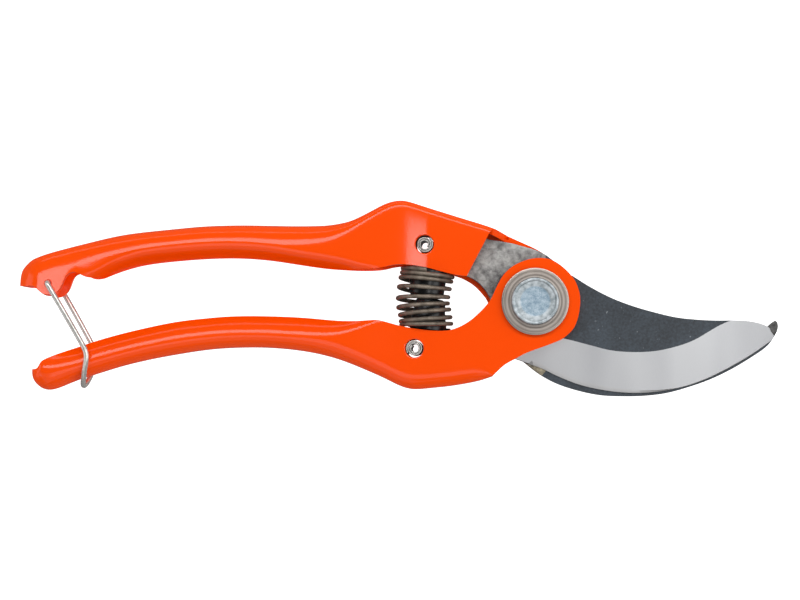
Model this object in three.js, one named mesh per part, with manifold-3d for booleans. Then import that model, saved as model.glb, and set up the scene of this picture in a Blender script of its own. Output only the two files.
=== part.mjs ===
// Bypass pruning shears with pressed-steel handles, in millimetres, +Z up.
// The shears lie on their side, closed and latched. The origin is on the pivot's axis, at the
// bolt's lower end. +X points to the blade's tip, +Y to the upper handle.
import * as THREE from 'three';
import Module from 'manifold-3d';
import { mergeVertices } from 'three/addons/utils/BufferGeometryUtils.js';

const wasm = await Module();
wasm.setup();

// ---- driving dimensions -------------------------------------------------------------------

// the stack along the pivot, from the bolt's lower end upwards
const plateGap = 0.1;
const boltTipReach = 0.8;
const nutThickness = 4.0;
const rearWasherThickness = 1.2;
const wallThickness = 2.0;
const hookThickness = 3.5;
const bladeThickness = 3.0;
const frontWasherThickness = 1.3;
const boltHeadThickness = 2.2;

// the pivot's round parts
const boltDiameter = 8.0;
const boltHeadDiameter = 14.3;
const nutAcrossFlats = 13.0;
const washerDiameter = 20.2;
const boreClearance = 0.15;
const edgeChamfer = 0.4;

// the handles
const gripLength = 101.1;
const tailStagger = 3.8;
const gripWidth = 15.0;
const lowerTailWidth = 12.2;
const tailRounding = 5.6;
const gripLipCurl = 1.5;
const longestRow = 5.0;
const headCornerRound = 2.2;
const gripCornerRound = 6.0;
const eyeRadius = 13.3;

// the coiled pins that hold the tangs
const pinDiameter = 5.3;
const pinStrip = 0.58;
const pinTurns = 2.25;
const pinTurnGap = 0.085;
const pinHoleClearance = 0.1;
const pinRecess = 0.2;

// the blades
const bladeReach = 73.0;
const blade = { edge: 0.35, wedgeRise: 0.6 };

// the spring and its buffers
const springWire = 1.3;
const springOuterDiameter = 16.6;
const springTurns = 8.3;
const bufferSeatGap = 0.3;
const upperBossDiameter = 10.8;
const lowerBossDiameter = 11.6;
const lowerBossTopDiameter = 8.6;

// the latch
const latchWire = 1.6;
const latchGap = 0.3;
const latchTailGap = 1.9;
const latchBend = 3.6;
const earRadius = 3.9;
const earNotchRadius = 3.0;
const earInset = 0.05;
const latchHoleClearance = 0.25;

// ---- places worked out from them ----------------------------------------------------------

const nutZ = boltTipReach;
const rearWasherZ = nutZ + nutThickness + plateGap;
const farWallZ = rearWasherZ + rearWasherThickness + plateGap;
const hookZ = farWallZ + wallThickness + plateGap;
const bladeZ = hookZ + hookThickness + plateGap;
const nearWallZ = bladeZ + bladeThickness + plateGap;
const frontWasherZ = nearWallZ + wallThickness + plateGap;
const boltHeadZ = frontWasherZ + frontWasherThickness + plateGap;
const headHalf = (nearWallZ + wallThickness - farWallZ) / 2;
const midZ = farWallZ + headHalf;
const gripHalf = gripWidth / 2;
const lowerTailHalf = lowerTailWidth / 2;
const pivotBore = boltDiameter / 2 + boreClearance;
const pinHole = pinDiameter / 2 + pinHoleClearance;

const upperPin = { x: -33.35, y: 17.45 };
const lowerPin = { x: -36.45, y: -14.05 };
const gripRoot = -57.0;
const upperTail = gripRoot - gripLength;
const lowerTail = upperTail + tailStagger;
const latchHole = { x: upperTail + 9.9, y: 6.1 };
const ear = { x: latchHole.x + 0.6, y: latchHole.y + 0.2 };
const earNotch = { x: upperTail + 17.7, y: 6.4 };
const backEnd = -11.7;

// ---- helpers ------------------------------------------------------------------------------

// A closed mesh as a solid that can be joined and cut.
function solid(geometry) {
  const bare = geometry.index ? geometry.toNonIndexed() : geometry.clone();
  bare.deleteAttribute('normal');
  bare.deleteAttribute('uv');
  const merged = mergeVertices(bare, 1e-5);
  return new wasm.Manifold(new wasm.Mesh({
    numProp: 3,
    vertProperties: merged.attributes.position.array,
    triVerts: new Uint32Array(merged.index.array),
  }));
}

function geometryOf(body) {
  const mesh = body.getMesh();
  const geometry = new THREE.BufferGeometry();
  geometry.setAttribute('position', new THREE.BufferAttribute(mesh.vertProperties, 3));
  geometry.setIndex(new THREE.BufferAttribute(mesh.triVerts, 1));
  geometry.computeVertexNormals();
  return geometry;
}

function vectors(points) {
  return points.map(([x, y]) => new THREE.Vector2(x, y));
}

// Points on a smooth curve through the given ones.
function curveThrough(points, steps = (points.length - 1) * 3) {
  const curve = new THREE.SplineCurve(vectors(points));
  return curve.getPoints(steps).map(({ x, y }) => [x, y]);
}

// Points on a circle round the pivot, from one angle to another, in degrees.
function arcRound(radius, from, to, steps) {
  const points = [];
  for (let i = 0; i <= steps; i++) {
    const angle = THREE.MathUtils.degToRad(from + (to - from) * i / steps);
    points.push([radius * Math.cos(angle), radius * Math.sin(angle)]);
  }
  return points;
}

// A flat plate between two heights.
function plate(outline, low, high) {
  const shape = new THREE.Shape(vectors(outline));
  const geometry = new THREE.ExtrudeGeometry(shape, { depth: high - low, bevelEnabled: false });
  return solid(geometry.translate(0, 0, low));
}

// A round bar along Z.
function bar(x, y, radius, low, high, sides = 32) {
  const geometry = new THREE.CylinderGeometry(radius, radius, high - low, sides);
  return solid(geometry.rotateX(Math.PI / 2).translate(x, y, (low + high) / 2));
}

// A turned piece about the Z axis, from [radius, z] pairs.
function turned(profile, sides = 48) {
  return solid(new THREE.LatheGeometry(vectors(profile), sides).rotateX(Math.PI / 2));
}

// A closed skin over rings that all have the same number of points, closed by a fan at each end.
function loft(rings) {
  const count = rings[0].length;
  const positions = rings.flat(2);
  const index = [];
  for (let r = 0; r + 1 < rings.length; r++) {
    for (let i = 0; i < count; i++) {
      const a = r * count + i;
      const b = r * count + (i + 1) % count;
      index.push(a, b, b + count, a, b + count, a + count);
    }
  }
  const middle = (ring) => [0, 1, 2].map((k) => ring.reduce((sum, p) => sum + p[k], 0) / count);
  const last = (rings.length - 1) * count;
  const hub = rings.length * count;
  positions.push(...middle(rings[0]), ...middle(rings.at(-1)));
  for (let i = 0; i < count; i++) {
    const next = (i + 1) % count;
    index.push(hub, next, i, hub + 1, last + i, last + next);
  }
  const geometry = new THREE.BufferGeometry();
  geometry.setAttribute('position', new THREE.Float32BufferAttribute(positions, 3));
  geometry.setIndex(index);
  return solid(geometry);
}

// The value of one column of a table of ribs at x, on a smooth curve through the ribs.
function along(ribs, x, column) {
  const last = ribs.length - 1;
  const at = Math.min(Math.max(ribs.findIndex((rib) => rib[0] > x), 1), last);
  const i = x >= ribs[last][0] ? last : at;
  const slope = (k) => {
    const before = ribs[Math.max(k - 1, 0)];
    const after = ribs[Math.min(k + 1, last)];
    return (after[column] - before[column]) / (after[0] - before[0]);
  };
  const [from, to] = [ribs[i - 1], ribs[i]];
  const span = to[0] - from[0];
  const t = (x - from[0]) / span;
  const u = 1 - t;
  return u * u * (1 + 2 * t) * from[column] + t * t * (3 - 2 * t) * to[column]
    + span * t * u * (u * slope(i - 1) - t * slope(i));
}

// A wire of round section along a curve.
function wire(path, diameter, steps, sides) {
  const round = [];
  for (let i = 0; i < sides; i++) {
    const angle = 2 * Math.PI * i / sides;
    round.push([diameter / 2 * Math.cos(angle), diameter / 2 * Math.sin(angle)]);
  }
  const options = { extrudePath: path, steps, bevelEnabled: false };
  return solid(new THREE.ExtrudeGeometry(new THREE.Shape(vectors(round)), options));
}

// Straight runs with rounded corners between them.
function bentPath(points, bend) {
  const path = new THREE.CurvePath();
  let from = points[0];
  for (let i = 1; i + 1 < points.length; i++) {
    const corner = points[i];
    const back = from.clone().sub(corner);
    const ahead = points[i + 1].clone().sub(corner);
    const reach = Math.min(bend, back.length() * 0.45, ahead.length() * 0.45);
    const start = corner.clone().addScaledVector(back.normalize(), reach);
    const end = corner.clone().addScaledVector(ahead.normalize(), reach);
    path.add(new THREE.LineCurve3(from, start));
    path.add(new THREE.QuadraticBezierCurve3(start, corner, end));
    from = end;
  }
  path.add(new THREE.LineCurve3(from, points.at(-1)));
  return path;
}

// ---- the pressed handles ------------------------------------------------------------------

// Each rib: its place, the back's height, the lips' height, the share of the grip's extra width,
// and the share of the grip's roundness. A grip's rib is placed by its share of the grip's
// length, and one of the head by its x.
function handleRibs(length, grip, head) {
  const placed = grip.map(([share, ...measures]) => [gripRoot - share * length, ...measures]);
  return [...placed, ...head];
}

const upperRibs = handleRibs(gripLength, [
  [1, 7.8, 5.2, 1, 0.5],
  [0.992, 10.9, 5.2, 1, 0.6],
  [0.973, 13.1, 5.2, 1, 0.8],
  [0.92, 15.2, 5.5, 1, 1],
  [0.821, 18.1, 7.2, 1, 1],
  [0.749, 19.8, 7.9, 1, 1],
  [0.685, 21.0, 10.1, 1, 1],
  [0.613, 21.9, 11.9, 1, 1],
  [0.495, 23.0, 13.3, 1, 1],
  [0.336, 23.8, 13.8, 1, 1],
  [0.198, 23.6, 12.9, 1, 1],
  [0.074, 23.4, 10.9, 1, 1],
], [
  [-57.0, 24.5, 10.2, 0.85, 0.8],
  [-51.0, 27.0, 10.1, 0.45, 0.4],
  [-46.0, 29.6, 10.5, 0.12, 0.1],
  [-43.0, 30.6, 11.0, 0, 0],
  [-40.4, 30.9, 11.3, 0, 0],
  [-37.5, 30.3, 11.1, 0, 0],
  [-33.5, 29.0, 10.5, 0, 0],
  [-24.7, 26.2, 8.3, 0, 0],
  [-13.3, 22.6, 8.0, 0, 0],
  [-9.4, 21.0, 8.0, 0, 0],
]);
const lowerRibs = handleRibs(gripLength - tailStagger, [
  [1, -21.4, -19.5, 1, 0.4],
  [0.994, -23.8, -19.3, 1, 0.5],
  [0.979, -25.3, -19.0, 1, 0.7],
  [0.962, -26.1, -18.4, 1, 0.8],
  [0.948, -26.4, -17.2, 1, 0.9],
  [0.915, -26.1, -15.7, 1, 1],
  [0.851, -23.4, -13.5, 1, 1],
  [0.795, -21.7, -11.6, 1, 1],
  [0.711, -19.2, -9.4, 1, 1],
  [0.582, -16.4, -6.6, 1, 1],
  [0.452, -14.5, -4.9, 1, 1],
  [0.298, -13.6, -4.1, 1, 1],
  [0.164, -14.4, -4.5, 1, 1],
  [0.051, -16.6, -5.4, 1, 0.9],
], [
  [-53.5, -19.7, -5.8, 0.6, 0.5],
  [-47.8, -22.0, -5.2, 0.15, 0.15],
  [-44.5, -23.6, -6.3, 0, 0],
  [-40.5, -25.6, -7.2, 0, 0],
  [-37.0, -26.4, -8.0, 0, 0],
  [-33.0, -26.2, -8.5, 0, 0],
  [-25.0, -25.3, -8.6, 0, 0],
  [-16.9, -23.8, -8.6, 0, 0],
  [-12.8, -22.2, -9.0, 0, 0],
  [-9.0, -18.9, -9.5, 0, 0],
]);

// A handle's measures at x. The lower handle narrows towards its tail.
function ribAt(ribs, x, tailHalf) {
  const tip = ribs[0][0];
  const extra = along(ribs, x, 3);
  const roundness = along(ribs, x, 4);
  const fade = THREE.MathUtils.smoothstep(x, tip + 12, tip + 50);
  const wide = THREE.MathUtils.lerp(tailHalf, gripHalf, fade);
  const short = Math.max(tailRounding - (x - tip), 0);
  const rounding = tailRounding - Math.sqrt(tailRounding ** 2 - short ** 2);
  return {
    x,
    back: along(ribs, x, 1),
    lip: along(ribs, x, 2),
    half: THREE.MathUtils.lerp(headHalf, wide, extra) - rounding,
    round: THREE.MathUtils.lerp(headCornerRound, gripCornerRound, roundness),
    curl: gripLipCurl * roundness * THREE.MathUtils.smoothstep(x, tip + 16, tip + 24),
  };
}

// A quarter circle in a rib's plane, from the side wall to the back, or the other way.
function corner(x, y, z, reachY, reachZ, steps) {
  const points = [];
  for (let i = 0; i <= steps; i++) {
    const angle = Math.PI / 2 * i / steps;
    points.push([x, y + reachY * Math.sin(angle), z + reachZ * Math.cos(angle)]);
  }
  return points;
}

// The outside of a rib: a box, round at the back and eased at the lips.
function outerRing({ x, back, lip, half, round }) {
  const way = Math.sign(back - lip);
  const depth = Math.abs(back - lip);
  const r = Math.min(round, half * 0.96, depth * 0.62);
  const q = Math.min(headCornerRound * 0.4, depth * 0.2, half * 0.4);
  const nearBack = corner(x, back - way * r, midZ + half - r, way * r, r, 4);
  const farBack = corner(x, back - way * r, midZ - half + r, way * r, -r, 4).reverse();
  const farLip = corner(x, lip + way * q, midZ - half + q, -way * q, -q, 1);
  const nearLip = corner(x, lip + way * q, midZ + half - q, -way * q, q, 1).reverse();
  const ring = [...nearBack, ...farBack, ...farLip, ...nearLip];
  return way > 0 ? ring.reverse() : ring;
}

// The hollow of a rib, open towards the other handle and narrower between curled lips.
function innerRing({ x, back, lip, half, round, curl }) {
  const way = Math.sign(back - lip);
  const inner = half - wallThickness;
  const mouth = inner - curl;
  const floor = back - way * wallThickness;
  const room = Math.abs(back - lip) - 2 * wallThickness - curl - 0.6;
  const r = Math.max(Math.min(round - wallThickness, inner * 0.9, room), 0.3);
  const shoulder = lip + way * (wallThickness + curl + 0.2);
  const throat = lip + way * wallThickness;
  const outside = lip - way * 2;
  const nearSide = [[x, outside, midZ + mouth], [x, throat, midZ + mouth],
    [x, shoulder, midZ + inner]];
  const farSide = nearSide.map(([px, y, z]) => [px, y, 2 * midZ - z]).reverse();
  const nearBack = corner(x, floor - way * r, midZ + inner - r, way * r, r, 3);
  const farBack = nearBack.map(([px, y, z]) => [px, y, 2 * midZ - z]).reverse();
  const ring = [...nearSide, ...nearBack, ...farBack, ...farSide];
  return way > 0 ? ring.reverse() : ring;
}

// A bent channel: the outside less the hollow, which stays one wall away from the tail's end.
function channel(ribs, tailHalf) {
  const tip = ribs[0][0];
  const end = ribs.at(-1)[0];
  const rows = [tip];
  for (let i = 1; i < ribs.length; i++) {
    const [from, to] = [ribs[i - 1][0], ribs[i][0]];
    if (to - from > longestRow) rows.push((from + to) / 2);
    rows.push(to);
  }
  const outside = loft(rows.map((x) => outerRing(ribAt(ribs, x, tailHalf))));
  const hollowRows = rows.filter((x) => x > tip + wallThickness + 0.6);
  const hollow = loft([...hollowRows, end + 1].map((x) => {
    const shift = wallThickness * (1 - THREE.MathUtils.smoothstep(x, tip + 4, tip + 12));
    const rib = ribAt(ribs, Math.min(x - shift, end), tailHalf);
    return innerRing({ ...rib, x });
  }));
  return outside.subtract(hollow);
}

// Everything beyond the slanted line where one wall stops short of the pivot.
const wallEnd = { backX: -13.1, backY: 22.3, lipX: -20.7, lipY: 7.6 };

function beyondWallEnd(way) {
  const slant = (wallEnd.backX - wallEnd.lipX) / (wallEnd.backY - wallEnd.lipY);
  const lowX = wallEnd.lipX - slant * (wallEnd.lipY - 2);
  const highX = wallEnd.backX + slant * (bladeReach - wallEnd.backY);
  const corners = [[lowX, 2], [bladeReach, 2], [bladeReach, bladeReach], [highX, bladeReach]];
  return corners.map(([x, y]) => [x, way * y]);
}

function upperHandle() {
  const eyeWall = [
    [-30, 13], [-30, 9.9],
    ...curveThrough([[-25.6, 8.5], [-22.1, 7.4], [-18.3, 5.0], [-14.0, 0.2]]),
    ...arcRound(eyeRadius, 190, 425, 22),
    ...curveThrough([[2.8, 14.6], [-2.4, 17.5], [-8.0, 20.2], [-9.0, 20.7]]),
    [-12.6, 20.0], [-30, 25.3],
  ];
  const wallTop = farWallZ + wallThickness;
  const farEar = midZ - gripHalf + earInset;
  const nearEar = midZ + gripHalf - wallThickness - earInset;
  const high = 2 * midZ;
  return channel(upperRibs, gripHalf)
    .subtract(plate(beyondWallEnd(1), wallTop, high))
    .subtract(bar(earNotch.x, earNotch.y, earNotchRadius, 0, high))
    .add(plate(eyeWall, farWallZ, wallTop))
    .add(bar(ear.x, ear.y, earRadius, farEar, farEar + wallThickness))
    .add(bar(ear.x, ear.y, earRadius, nearEar, nearEar + wallThickness))
    .subtract(bar(latchHole.x, latchHole.y, latchWire / 2 + latchHoleClearance, 0, high, 16))
    .subtract(bar(upperPin.x, upperPin.y, pinHole, 0, high, 24))
    .subtract(bar(0, 0, pivotBore, 0, high));
}

function lowerHandle() {
  const eyeWall = [
    [-30, -12], [-30, -8.9],
    ...curveThrough([[-25.6, -8.5], [-22.1, -7.2], [-18.5, -4.8], [-13.9, 0.1], [-11.4, 4.9],
      [-9.2, 8.5], [-5.6, 11.3]]),
    ...arcRound(eyeRadius, 108, -58, 18),
    ...curveThrough([[-2.6, -15.4], [-5.9, -17.0], [-9.2, -18.9], [-11.0, -20.6]]),
    [-14, -20.3], [-18, -21.6], [-30, -23.3],
  ];
  const pastBack = [[backEnd, -bladeReach], [bladeReach, -bladeReach],
    [bladeReach, -wallEnd.lipY], [backEnd, -wallEnd.lipY]];
  const high = 2 * midZ;
  return channel(lowerRibs, lowerTailHalf)
    .subtract(plate(beyondWallEnd(-1), 0, farWallZ + wallThickness))
    .subtract(plate(pastBack, 0, high))
    .add(plate(eyeWall, nearWallZ, nearWallZ + wallThickness))
    .subtract(bar(lowerPin.x, lowerPin.y, pinHole, 0, high, 24))
    .subtract(bar(0, 0, pivotBore, 0, high));
}

// ---- the blades ---------------------------------------------------------------------------

// Points of the blades beyond the pivot, from their shares of the reach and their heights.
function reaching(points) {
  return points.map(([share, y]) => [share * bladeReach, y]);
}

// The bevel, from the heel to the tip: where it starts on the plate's face, and the edge.
const grindLine = reaching([[0.027, -9.5], [0.123, -11.1], [0.225, -13.1], [0.403, -15.2],
  [0.581, -13.5], [0.714, -9.0], [0.821, -5.4], [0.932, -2.0]]);
const cuttingEdge = [[-3.5, -18.1], ...reaching([[0.092, -22.1], [0.268, -26.2],
  [0.447, -27.3], [0.625, -24.9], [0.801, -19.0], [0.89, -15.2], [0.971, -11.3]])];

function cuttingBlade() {
  const outline = [
    ...curveThrough([[-41.5, -9.6], [-33, -9.9], [-25.6, -9.3], [-21.6, -7.7], [-18.2, -5.2],
      [-13.6, -0.3]]),
    ...arcRound(eyeRadius - 0.6, 172, 47, 12),
    ...curveThrough([[11.3, 7.8], ...reaching([[0.315, 1.1], [0.493, -3.3], [0.67, -5.5],
      [0.821, -5.7]])]),
    ...curveThrough(reaching([[0.874, -5.9], [0.918, -6.5], [0.954, -7.5]])),
    ...curveThrough(reaching([[0.966, -8.8], [0.978, -10.1]])),
    ...curveThrough(cuttingEdge, 28).reverse(),
    ...curveThrough([[-6.5, -17.0], [-10.0, -16.8], [-13.5, -18.5]]),
    [-24, -21.8], [-41.5, -20.5],
  ];
  const top = bladeZ + bladeThickness;
  const fall = bladeThickness - blade.edge;
  const wedgeSteps = 25;
  const grind = vectors(curveThrough(grindLine, wedgeSteps));
  const edge = vectors(curveThrough(cuttingEdge, wedgeSteps));
  const wedge = grind.map((start, i) => {
    const overrun = i === 0 ? -1 : Math.floor(i / wedgeSteps);
    start.x += overrun;
    edge[i].x += overrun;
    const slope = edge[i].clone().sub(start);
    const inside = start.clone().addScaledVector(slope, -blade.wedgeRise / fall);
    const outside = edge[i].clone().addScaledVector(slope, blade.wedgeRise / fall);
    return [
      [inside.x, inside.y, top + blade.wedgeRise],
      [outside.x, outside.y, top + blade.wedgeRise],
      [outside.x, outside.y, bladeZ + blade.edge - blade.wedgeRise],
    ];
  });
  return plate(outline, bladeZ, top)
    .subtract(loft(wedge))
    .subtract(bar(lowerPin.x, lowerPin.y, pinHole, bladeZ - 1, top + 1, 24))
    .subtract(bar(0, 0, pivotBore, bladeZ - 1, top + 1));
}

function counterBlade() {
  const outline = [
    [-41, 12.6], [-41, 28.0], [-37, 27.6],
    ...curveThrough([[-13.8, 19.4], [-7.4, 18.2], [-0.3, 16.2], [2.8, 14.7], [5.6, 12.4]]),
    ...arcRound(eyeRadius - 0.2, 62, -20, 8),
    ...curveThrough([[13.2, -8.0], ...reaching([[0.24, -14.6], [0.356, -19.8],
      [0.507, -21.3], [0.658, -19.3], [0.808, -14.0], [0.918, -9.2], [0.989, -5.7]])]),
    ...curveThrough(reaching([[1, -7.4], [0.992, -9.4], [0.956, -13.2]])),
    ...curveThrough([...reaching([[0.805, -20.4], [0.627, -25.8], [0.449, -28.4],
      [0.27, -28.3], [0.092, -24.9], [0.019, -22.1]]), [-3.8, -18.0], [-8.6, -14.0],
      [-12.2, -8.0], [-13.6, -2.0], [-13.9, 1.4], [-16.8, 5.6], [-20.4, 7.9], [-24.7, 9.2],
      [-33, 11.5]]),
  ];
  const top = hookZ + hookThickness;
  return plate(outline, hookZ, top)
    .subtract(bar(upperPin.x, upperPin.y, pinHole, hookZ - 1, top + 1, 24))
    .subtract(bar(0, 0, pivotBore, hookZ - 1, top + 1));
}

// ---- the pivot ----------------------------------------------------------------------------

function pivotBolt() {
  const head = boltHeadDiameter / 2;
  const shank = boltDiameter / 2;
  const top = boltHeadZ + boltHeadThickness;
  return turned([[0, 0], [shank - edgeChamfer, 0], [shank, edgeChamfer], [shank, boltHeadZ],
    [head, boltHeadZ], [head, top - edgeChamfer], [head - edgeChamfer, top], [0, top]]);
}

function washer(low, thickness, chamfer) {
  const outer = washerDiameter / 2;
  const high = low + thickness;
  return turned([[pivotBore, low], [outer, low], [outer, high - chamfer],
    [outer - chamfer, high], [pivotBore, high], [pivotBore, low]]);
}

function pivotNut() {
  const corner = nutAcrossFlats / Math.sqrt(3);
  const flats = [];
  for (let i = 0; i < 6; i++) {
    const angle = Math.PI / 3 * i;
    flats.push([corner * Math.cos(angle), corner * Math.sin(angle)]);
  }
  const high = nutZ + nutThickness;
  const eased = turned([[0, nutZ], [nutAcrossFlats / 2, nutZ],
    [corner, nutZ + edgeChamfer], [corner, high - edgeChamfer],
    [nutAcrossFlats / 2, high], [0, high]]);
  return plate(flats, nutZ, high)
    .intersect(eased)
    .subtract(bar(0, 0, pivotBore, nutZ - 1, high + 1));
}

// A pin rolled from spring-steel strip.
function coiledPin({ x, y }) {
  const steps = 44;
  const outside = [];
  const inside = [];
  for (let i = 0; i <= steps; i++) {
    const turn = pinTurns * i / steps;
    const angle = Math.PI * (0.3 - 2 * turn);
    const radius = pinDiameter / 2 - turn * (pinStrip + pinTurnGap);
    outside.push([x + radius * Math.cos(angle), y + radius * Math.sin(angle)]);
    const deep = radius - pinStrip;
    inside.unshift([x + deep * Math.cos(angle), y + deep * Math.sin(angle)]);
  }
  return plate([...outside, ...inside], farWallZ + pinRecess, nearWallZ + wallThickness - pinRecess);
}

// ---- the spring and its buffers -----------------------------------------------------------

// The spring's axis bows away from the pivot. Each row: turn, height, the axis's x, and the
// coil's rise from left to right.
const springRows = [
  [0, 9.7, -32.6, -0.14],
  [1, 8.4, -32.8, -0.14],
  [2, 7.05, -33.2, -0.15],
  [3, 4.5, -33.7, -0.14],
  [4, 1.6, -34.1, -0.07],
  [5, -0.8, -34.1, 0.01],
  [6, -2.95, -33.6, 0.04],
  [7, -5.2, -33.3, 0.02],
  [8, -6.7, -33.1, -0.02],
  [9, -7.6, -33.0, -0.04],
];

class SpringLine extends THREE.Curve {
  getPoint(t, target = new THREE.Vector3()) {
    const turn = t * springTurns;
    const radius = (springOuterDiameter - springWire) / 2;
    const angle = Math.PI * (0.5 + 2 * turn);
    const across = radius * Math.cos(angle);
    const x = along(springRows, turn, 2) + across;
    const y = along(springRows, turn, 1) + across * along(springRows, turn, 3);
    return target.set(x, y, midZ + radius * Math.sin(angle));
  }
}

function returnSpring() {
  return wire(new SpringLine(), springWire, Math.round(springTurns * 14), 6);
}

// A round boss on a slanted seat, from [radius, distance from the seat] pairs.
function boss(seat, profile) {
  const geometry = new THREE.LatheGeometry(vectors(profile), 24);
  geometry.rotateZ(seat.turn).translate(seat.x, seat.y, midZ);
  return solid(geometry);
}

function upperBuffer() {
  const seat = { x: -32.0, y: 10.0 - bufferSeatGap, turn: Math.PI - Math.atan(0.19) };
  const radius = upperBossDiameter / 2;
  const body = boss(seat, [[0, 0], [radius, 0], [radius, 7.2], [radius - 1, 8.2], [0, 8.2]]);
  const neck = [[-37.2, 8.9], [-27.9, 8.2], [-27.9, 13], [-29.6, 21.6], [-37.6, 21.6],
    [-37.6, 13]];
  const low = hookZ + hookThickness + plateGap;
  return body
    .add(plate(neck, low, nearWallZ - plateGap))
    .subtract(bar(upperPin.x, upperPin.y, pinHole, 0, 2 * midZ));
}

function lowerBuffer() {
  const seat = { x: -32.7, y: -8.4 + bufferSeatGap, turn: -Math.atan(0.08) };
  const radius = lowerBossDiameter / 2;
  const top = lowerBossTopDiameter / 2;
  const body = boss(seat, [[0, 0], [radius, 0], [radius, 1.6], [top + 0.5, 5.4],
    [top, 7.6], [top - 0.8, 8.3], [0, 8.3]]);
  const neck = [[-38.0, -7.4], [-40.6, -11], [-40.6, -17.6], [-32.4, -17.6], [-25.8, -12],
    [-25.8, -7.9]];
  const low = farWallZ + wallThickness + plateGap;
  return body
    .add(plate(neck, low, bladeZ - plateGap))
    .subtract(bar(lowerPin.x, lowerPin.y, pinHole, 0, 2 * midZ));
}

// ---- the latch ----------------------------------------------------------------------------

function latchBail() {
  const earReach = gripHalf + latchWire / 2 + latchGap;
  const tailReach = lowerTailHalf + latchWire / 2 + latchGap;
  const crossX = lowerTail + 16.9;
  const half = [
    [latchHole.x, latchHole.y, gripHalf - wallThickness - 0.2],
    [latchHole.x, latchHole.y, earReach],
    [lowerTail + 18.3, -15.2, tailReach + 0.2],
    [crossX, along(lowerRibs, crossX, 1) - latchWire / 2 - latchTailGap, tailReach - 1.6],
  ];
  const near = half.map(([x, y, z]) => new THREE.Vector3(x, y, midZ + z));
  const far = half.map(([x, y, z]) => new THREE.Vector3(x, y, midZ - z)).reverse();
  return wire(bentPath([...near, ...far], latchBend), latchWire, 72, 8);
}

// ---- the assembly -------------------------------------------------------------------------

const orangeCoat = { color: 0xff5503, roughness: 0.35, metalness: 0 };
const bladeCoat = { color: 0x3f484f, roughness: 0.5, metalness: 0.3 };
const bareSteel = { color: 0x8b8e8f, roughness: 0.5, metalness: 0.9 };
const turnedSteel = { color: 0xa2938f, roughness: 0.4, metalness: 0.9 };
const zincPlate = { color: 0xb4c3c9, roughness: 0.35, metalness: 0.9 };
const springSteel = { color: 0x5f574e, roughness: 0.4, metalness: 0.9 };
const blackRubber = { color: 0x121012, roughness: 0.4, metalness: 0 };
const brightPlate = { color: 0xd8d8d4, roughness: 0.2, metalness: 1 };

const shears = new THREE.Group();

function place(name, body, look) {
  const mesh = new THREE.Mesh(geometryOf(body), new THREE.MeshStandardMaterial(look));
  mesh.name = name;
  shears.add(mesh);
}

place('upper_handle', upperHandle(), orangeCoat);
place('lower_handle', lowerHandle(), orangeCoat);
place('cutting_blade', cuttingBlade(), bladeCoat);
place('counter_blade', counterBlade(), bareSteel);
place('pivot_bolt', pivotBolt(), zincPlate);
place('front_washer', washer(frontWasherZ, frontWasherThickness, edgeChamfer), turnedSteel);
place('rear_washer', washer(rearWasherZ, rearWasherThickness, edgeChamfer), turnedSteel);
place('pivot_nut', pivotNut(), zincPlate);
place('upper_spring_pin', coiledPin(upperPin), springSteel);
place('lower_spring_pin', coiledPin(lowerPin), springSteel);
place('return_spring', returnSpring(), springSteel);
place('upper_buffer', upperBuffer(), blackRubber);
place('lower_buffer', lowerBuffer(), blackRubber);
place('latch_bail', latchBail(), brightPlate);

export default shears;
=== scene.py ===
from math import cos, hypot, pi, radians, sin, sqrt

import bmesh
import bpy
from mathutils import Matrix, Vector
from mathutils.geometry import interpolate_bezier


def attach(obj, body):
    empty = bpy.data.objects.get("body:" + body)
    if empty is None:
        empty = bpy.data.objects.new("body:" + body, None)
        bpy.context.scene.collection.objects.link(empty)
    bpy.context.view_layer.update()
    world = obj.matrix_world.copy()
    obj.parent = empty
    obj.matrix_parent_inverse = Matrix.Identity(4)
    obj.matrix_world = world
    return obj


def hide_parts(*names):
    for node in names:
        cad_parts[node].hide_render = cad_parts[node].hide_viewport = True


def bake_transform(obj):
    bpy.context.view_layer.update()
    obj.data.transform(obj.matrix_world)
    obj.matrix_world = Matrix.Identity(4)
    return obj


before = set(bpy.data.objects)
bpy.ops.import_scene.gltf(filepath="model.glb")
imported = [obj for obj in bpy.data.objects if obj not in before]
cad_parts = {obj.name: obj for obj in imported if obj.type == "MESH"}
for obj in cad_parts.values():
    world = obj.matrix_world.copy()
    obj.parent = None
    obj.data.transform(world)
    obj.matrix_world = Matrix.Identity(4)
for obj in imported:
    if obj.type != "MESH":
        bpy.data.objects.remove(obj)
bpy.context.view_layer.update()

scene = bpy.context.scene


# ---- the table, the light and the camera --------------------------------------------------
# A pair of pruning shears on a lit white table, seen from above with the tips to the right.
# The light is a studio's: a long soft box behind the handles and weaker ones all round.

def colour(text):
    """A linear colour from an sRGB hex value."""
    parts = [int(text[i:i + 2], 16) / 255 for i in (0, 2, 4)]
    return [p / 12.92 if p <= 0.04045 else ((p + 0.055) / 1.055) ** 2.4 for p in parts] + [1]


def add(tree, kind, links=(), stops=(), **settings):
    """A node with its settings and colour stops, and its sockets set or linked."""
    made = tree.nodes.new("ShaderNode" + kind)
    for name, value in settings.items():
        setattr(made, name, value)
    for _ in stops[2:]:
        made.color_ramp.elements.new(0.5)
    for k, (position, shade) in enumerate(stops):
        element = made.color_ramp.elements[k]
        element.position, element.color = position, colour(shade)
    for socket, source in dict(links).items():
        if isinstance(source, bpy.types.NodeSocket):
            tree.links.new(source, made.inputs[socket])
        else:
            made.inputs[socket].default_value = source
    return made


def material(name):
    """An empty material, and its tree."""
    made = bpy.data.materials.new(name)
    made.use_nodes = True
    made.node_tree.nodes.clear()
    return made, made.node_tree


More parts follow.
